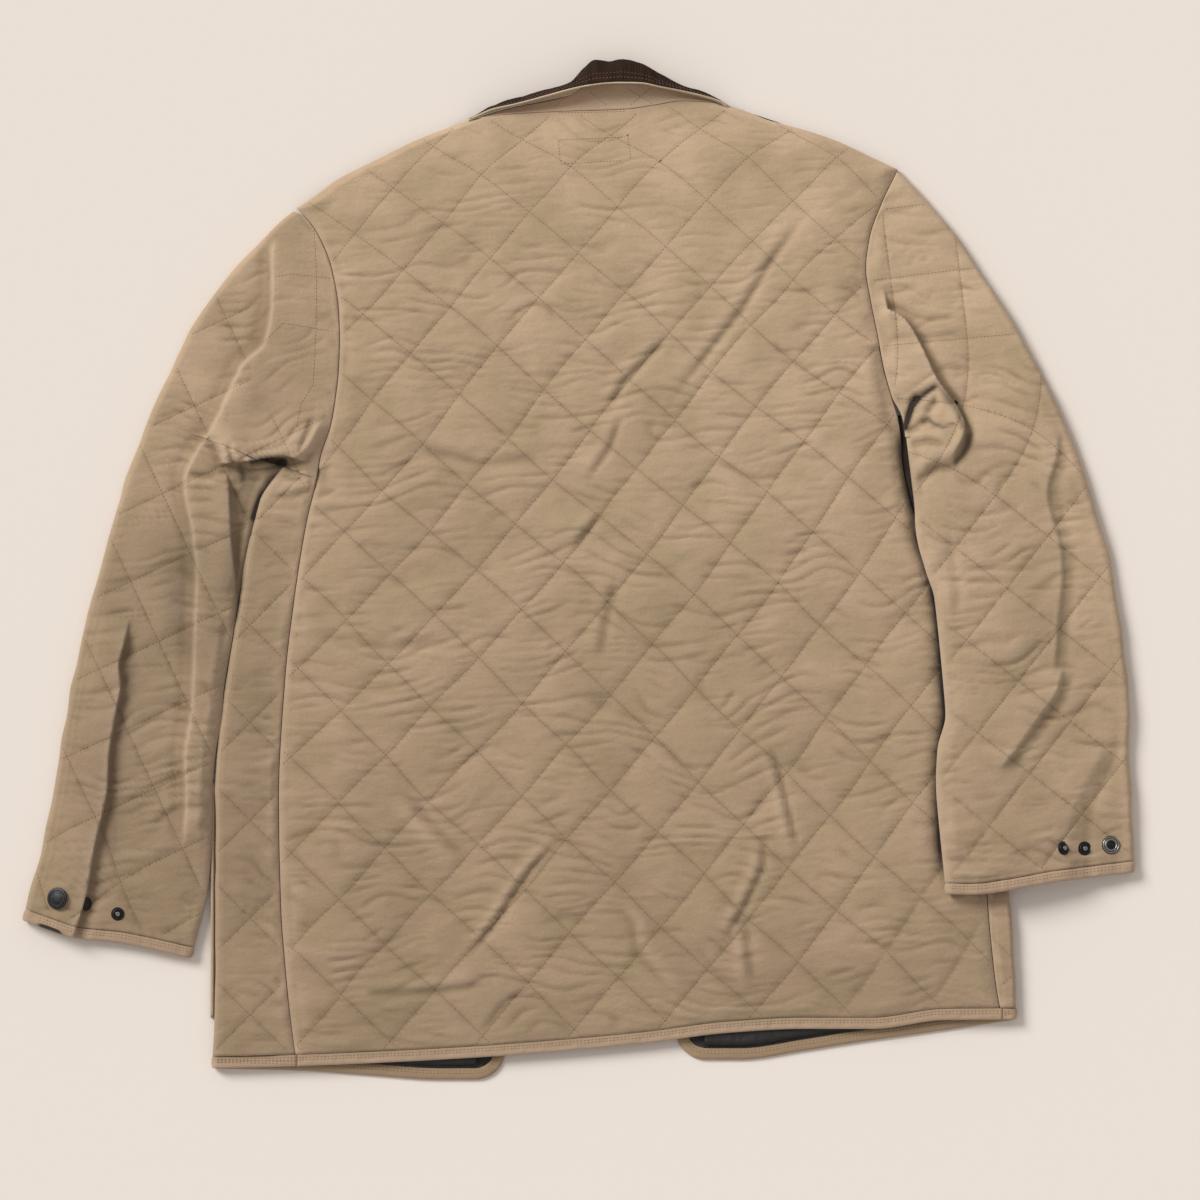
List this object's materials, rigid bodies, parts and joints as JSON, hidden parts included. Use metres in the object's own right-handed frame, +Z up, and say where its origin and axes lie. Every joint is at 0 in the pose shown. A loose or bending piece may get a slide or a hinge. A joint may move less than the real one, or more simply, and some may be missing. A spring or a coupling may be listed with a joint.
{
  "type": "quilted jacket",
  "caption": "Man's diamond-quilted jacket with cord collar, bound hems and snap cuffs, laid face down with its back up and its fronts open below.",
  "frame": {"origin": "centre of the jacket's footprint, on the surface that it lies on", "axes": "+X across the back to the wearer's right sleeve, +Y up the back to the collar, +Z up from the surface"},
  "size_m": [1.0012, 0.9183, 0.0432],
  "materials": {
    "shell": "brushed khaki cotton over wadding, quilted in diamonds",
    "binding": "worn twill binding, two rows of stitching",
    "collar": "worn brown cord",
    "piping": "cream edge",
    "lining": "near-black plain lining",
    "snap": "gunmetal, worn"
  },
  "bodies": {
    "root": {"back": "shell", "front_left": "shell", "front_right": "shell", "sleeve_left": "shell", "sleeve_right": "shell", "cuff_binding_left": "binding", "cuff_binding_right": "binding", "hem_binding_back": "binding", "front_binding_left": "binding", "front_binding_right": "binding", "pocket_left": "shell", "pocket_right": "shell", "lining_left": "lining", "lining_right": "lining", "collar_stand": "shell", "collar_fall": "collar", "undercollar": "shell", "collar_piping": "piping", "snap_cap_left": "snap", "snap_cap_left_inner": "snap", "snap_stud_left": "snap", "snap_stud_right_outer": "snap", "snap_stud_right": "snap", "snap_socket_right": "snap"}
  },
  "joints": []
}
